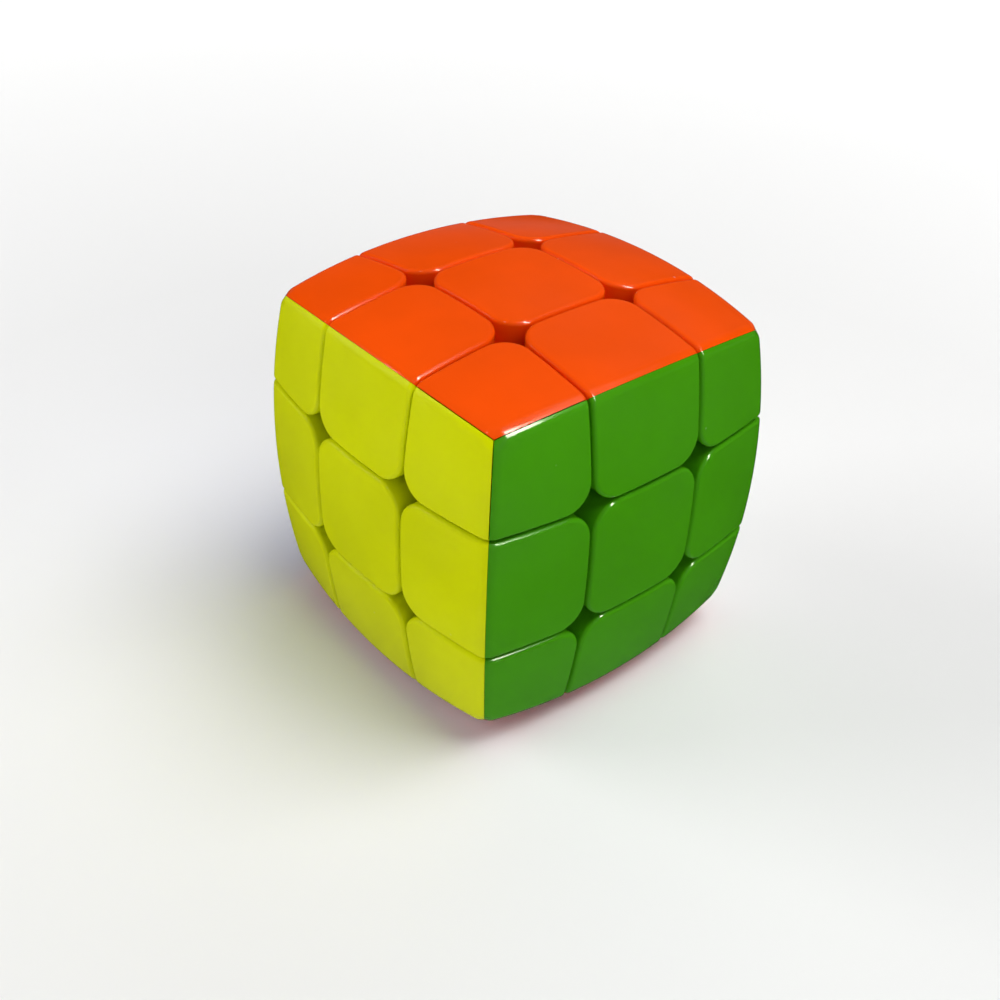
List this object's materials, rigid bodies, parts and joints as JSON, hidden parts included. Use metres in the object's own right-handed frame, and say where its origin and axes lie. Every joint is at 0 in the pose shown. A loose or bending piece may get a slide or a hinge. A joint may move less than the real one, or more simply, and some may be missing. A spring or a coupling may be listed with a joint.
{
  "type": "twisty puzzle cube",
  "caption": "Stickerless twisty puzzle cube with domed, solid-coloured faces; every face layer turns about its own axis on a hidden core.",
  "frame": {"origin": "centre of the core, where the three turning axes cross; it is also the centre of the bounding box", "axes": "+Z out of the top (orange) face, -Y out of the front (yellow) face, +X out of the right (green) face"},
  "size_m": [0.057, 0.057, 0.057],
  "materials": {
    "orange_plastic": "glossy moulded orange plastic, coloured all through",
    "red_plastic": "glossy moulded red plastic, coloured all through",
    "yellow_plastic": "glossy moulded yellow plastic, coloured all through",
    "white_plastic": "glossy moulded white plastic, coloured all through",
    "blue_plastic": "glossy moulded blue plastic, coloured all through",
    "green_plastic": "glossy moulded green plastic, coloured all through",
    "core_plastic": "matte black moulded plastic",
    "screw_steel": "plain steel screw",
    "spring_steel": "drawn spring wire",
    "washer_steel": "stamped steel washer"
  },
  "bodies": {
    "core": {"core": "core_plastic", "tension_screws": "screw_steel", "springs": "spring_steel", "washers": "washer_steel"},
    "top_centre": {"top_centre": "orange_plastic"},
    "bottom_centre": {"bottom_centre": "red_plastic"},
    "front_centre": {"front_centre": "yellow_plastic"},
    "back_centre": {"back_centre": "white_plastic"},
    "left_centre": {"left_centre": "blue_plastic"},
    "right_centre": {"right_centre": "green_plastic"},
    "back_left_edge": {"back_left_edge_blue": "blue_plastic", "back_left_edge_white": "white_plastic"},
    "back_right_edge": {"back_right_edge_green": "green_plastic", "back_right_edge_white": "white_plastic"},
    "bottom_back_edge": {"bottom_back_edge_red": "red_plastic", "bottom_back_edge_white": "white_plastic"},
    "bottom_back_left_corner": {"bottom_back_left_corner_blue": "blue_plastic", "bottom_back_left_corner_red": "red_plastic", "bottom_back_left_corner_white": "white_plastic"},
    "bottom_back_right_corner": {"bottom_back_right_corner_green": "green_plastic", "bottom_back_right_corner_red": "red_plastic", "bottom_back_right_corner_white": "white_plastic"},
    "bottom_front_edge": {"bottom_front_edge_red": "red_plastic", "bottom_front_edge_yellow": "yellow_plastic"},
    "bottom_front_left_corner": {"bottom_front_left_corner_blue": "blue_plastic", "bottom_front_left_corner_red": "red_plastic", "bottom_front_left_corner_yellow": "yellow_plastic"},
    "bottom_front_right_corner": {"bottom_front_right_corner_green": "green_plastic", "bottom_front_right_corner_red": "red_plastic", "bottom_front_right_corner_yellow": "yellow_plastic"},
    "bottom_left_edge": {"bottom_left_edge_blue": "blue_plastic", "bottom_left_edge_red": "red_plastic"},
    "bottom_right_edge": {"bottom_right_edge_green": "green_plastic", "bottom_right_edge_red": "red_plastic"},
    "front_left_edge": {"front_left_edge_blue": "blue_plastic", "front_left_edge_yellow": "yellow_plastic"},
    "front_right_edge": {"front_right_edge_green": "green_plastic", "front_right_edge_yellow": "yellow_plastic"},
    "top_back_edge": {"top_back_edge_orange": "orange_plastic", "top_back_edge_white": "white_plastic"},
    "top_back_left_corner": {"top_back_left_corner_blue": "blue_plastic", "top_back_left_corner_orange": "orange_plastic", "top_back_left_corner_white": "white_plastic"},
    "top_back_right_corner": {"top_back_right_corner_green": "green_plastic", "top_back_right_corner_orange": "orange_plastic", "top_back_right_corner_white": "white_plastic"},
    "top_front_edge": {"top_front_edge_orange": "orange_plastic", "top_front_edge_yellow": "yellow_plastic"},
    "top_front_left_corner": {"top_front_left_corner_blue": "blue_plastic", "top_front_left_corner_orange": "orange_plastic", "top_front_left_corner_yellow": "yellow_plastic"},
    "top_front_right_corner": {"top_front_right_corner_green": "green_plastic", "top_front_right_corner_orange": "orange_plastic", "top_front_right_corner_yellow": "yellow_plastic"},
    "top_left_edge": {"top_left_edge_blue": "blue_plastic", "top_left_edge_orange": "orange_plastic"},
    "top_right_edge": {"top_right_edge_green": "green_plastic", "top_right_edge_orange": "orange_plastic"}
  },
  "joints": [
    {"name": "top_turn", "type": "hinge", "parent": "core", "child": "top_centre", "pos_m": [0, 0, 0], "axis": [0, 0, 1], "continuous": true},
    {"name": "bottom_turn", "type": "hinge", "parent": "core", "child": "bottom_centre", "pos_m": [0, 0, 0], "axis": [0, 0, 1], "continuous": true},
    {"name": "right_turn", "type": "hinge", "parent": "core", "child": "right_centre", "pos_m": [0, 0, 0], "axis": [1, 0, 0], "continuous": true},
    {"name": "left_turn", "type": "hinge", "parent": "core", "child": "left_centre", "pos_m": [0, 0, 0], "axis": [1, 0, 0], "continuous": true},
    {"name": "front_turn", "type": "hinge", "parent": "core", "child": "front_centre", "pos_m": [0, 0, 0], "axis": [0, 1, 0], "continuous": true},
    {"name": "back_turn", "type": "hinge", "parent": "core", "child": "back_centre", "pos_m": [0, 0, 0], "axis": [0, 1, 0], "continuous": true},
    {"name": "top_right_edge_by_right", "type": "hinge", "parent": "top_centre", "child": "top_right_edge", "pos_m": [0, 0, 0], "axis": [1, 0, 0], "continuous": true},
    {"name": "top_left_edge_by_left", "type": "hinge", "parent": "top_centre", "child": "top_left_edge", "pos_m": [0, 0, 0], "axis": [1, 0, 0], "continuous": true},
    {"name": "bottom_right_edge_by_right", "type": "hinge", "parent": "bottom_centre", "child": "bottom_right_edge", "pos_m": [0, 0, 0], "axis": [1, 0, 0], "continuous": true},
    {"name": "bottom_left_edge_by_left", "type": "hinge", "parent": "bottom_centre", "child": "bottom_left_edge", "pos_m": [0, 0, 0], "axis": [1, 0, 0], "continuous": true},
    {"name": "front_right_edge_by_front", "type": "hinge", "parent": "right_centre", "child": "front_right_edge", "pos_m": [0, 0, 0], "axis": [0, 1, 0], "continuous": true},
    {"name": "front_left_edge_by_front", "type": "hinge", "parent": "left_centre", "child": "front_left_edge", "pos_m": [0, 0, 0], "axis": [0, 1, 0], "continuous": true},
    {"name": "top_front_edge_by_top", "type": "hinge", "parent": "front_centre", "child": "top_front_edge", "pos_m": [0, 0, 0], "axis": [0, 0, 1], "continuous": true},
    {"name": "bottom_front_edge_by_bottom", "type": "hinge", "parent": "front_centre", "child": "bottom_front_edge", "pos_m": [0, 0, 0], "axis": [0, 0, 1], "continuous": true},
    {"name": "back_right_edge_by_back", "type": "hinge", "parent": "right_centre", "child": "back_right_edge", "pos_m": [0, 0, 0], "axis": [0, 1, 0], "continuous": true},
    {"name": "back_left_edge_by_back", "type": "hinge", "parent": "left_centre", "child": "back_left_edge", "pos_m": [0, 0, 0], "axis": [0, 1, 0], "continuous": true},
    {"name": "top_back_edge_by_top", "type": "hinge", "parent": "back_centre", "child": "top_back_edge", "pos_m": [0, 0, 0], "axis": [0, 0, 1], "continuous": true},
    {"name": "bottom_back_edge_by_bottom", "type": "hinge", "parent": "back_centre", "child": "bottom_back_edge", "pos_m": [0, 0, 0], "axis": [0, 0, 1], "continuous": true},
    {"name": "top_front_right_corner_by_front", "type": "hinge", "parent": "top_right_edge", "child": "top_front_right_corner", "pos_m": [0, 0, 0], "axis": [0, 1, 0], "continuous": true},
    {"name": "top_front_left_corner_by_front", "type": "hinge", "parent": "top_left_edge", "child": "top_front_left_corner", "pos_m": [0, 0, 0], "axis": [0, 1, 0], "continuous": true},
    {"name": "top_back_right_corner_by_back", "type": "hinge", "parent": "top_right_edge", "child": "top_back_right_corner", "pos_m": [0, 0, 0], "axis": [0, 1, 0], "continuous": true},
    {"name": "top_back_left_corner_by_back", "type": "hinge", "parent": "top_left_edge", "child": "top_back_left_corner", "pos_m": [0, 0, 0], "axis": [0, 1, 0], "continuous": true},
    {"name": "bottom_front_right_corner_by_front", "type": "hinge", "parent": "bottom_right_edge", "child": "bottom_front_right_corner", "pos_m": [0, 0, 0], "axis": [0, 1, 0], "continuous": true},
    {"name": "bottom_front_left_corner_by_front", "type": "hinge", "parent": "bottom_left_edge", "child": "bottom_front_left_corner", "pos_m": [0, 0, 0], "axis": [0, 1, 0], "continuous": true},
    {"name": "bottom_back_right_corner_by_back", "type": "hinge", "parent": "bottom_right_edge", "child": "bottom_back_right_corner", "pos_m": [0, 0, 0], "axis": [0, 1, 0], "continuous": true},
    {"name": "bottom_back_left_corner_by_back", "type": "hinge", "parent": "bottom_left_edge", "child": "bottom_back_left_corner", "pos_m": [0, 0, 0], "axis": [0, 1, 0], "continuous": true}
  ],
  "couplings": [
    {"joint": "top_right_edge_by_right", "follows": "right_turn", "ratio": 1},
    {"joint": "top_left_edge_by_left", "follows": "left_turn", "ratio": 1},
    {"joint": "bottom_right_edge_by_right", "follows": "right_turn", "ratio": 1},
    {"joint": "bottom_left_edge_by_left", "follows": "left_turn", "ratio": 1},
    {"joint": "front_right_edge_by_front", "follows": "front_turn", "ratio": 1},
    {"joint": "front_left_edge_by_front", "follows": "front_turn", "ratio": 1},
    {"joint": "top_front_edge_by_top", "follows": "top_turn", "ratio": 1},
    {"joint": "bottom_front_edge_by_bottom", "follows": "bottom_turn", "ratio": 1},
    {"joint": "back_right_edge_by_back", "follows": "back_turn", "ratio": 1},
    {"joint": "back_left_edge_by_back", "follows": "back_turn", "ratio": 1},
    {"joint": "top_back_edge_by_top", "follows": "top_turn", "ratio": 1},
    {"joint": "bottom_back_edge_by_bottom", "follows": "bottom_turn", "ratio": 1},
    {"joint": "top_front_right_corner_by_front", "follows": "front_turn", "ratio": 1},
    {"joint": "top_front_left_corner_by_front", "follows": "front_turn", "ratio": 1},
    {"joint": "top_back_right_corner_by_back", "follows": "back_turn", "ratio": 1},
    {"joint": "top_back_left_corner_by_back", "follows": "back_turn", "ratio": 1},
    {"joint": "bottom_front_right_corner_by_front", "follows": "front_turn", "ratio": 1},
    {"joint": "bottom_front_left_corner_by_front", "follows": "front_turn", "ratio": 1},
    {"joint": "bottom_back_right_corner_by_back", "follows": "back_turn", "ratio": 1},
    {"joint": "bottom_back_left_corner_by_back", "follows": "back_turn", "ratio": 1}
  ]
}
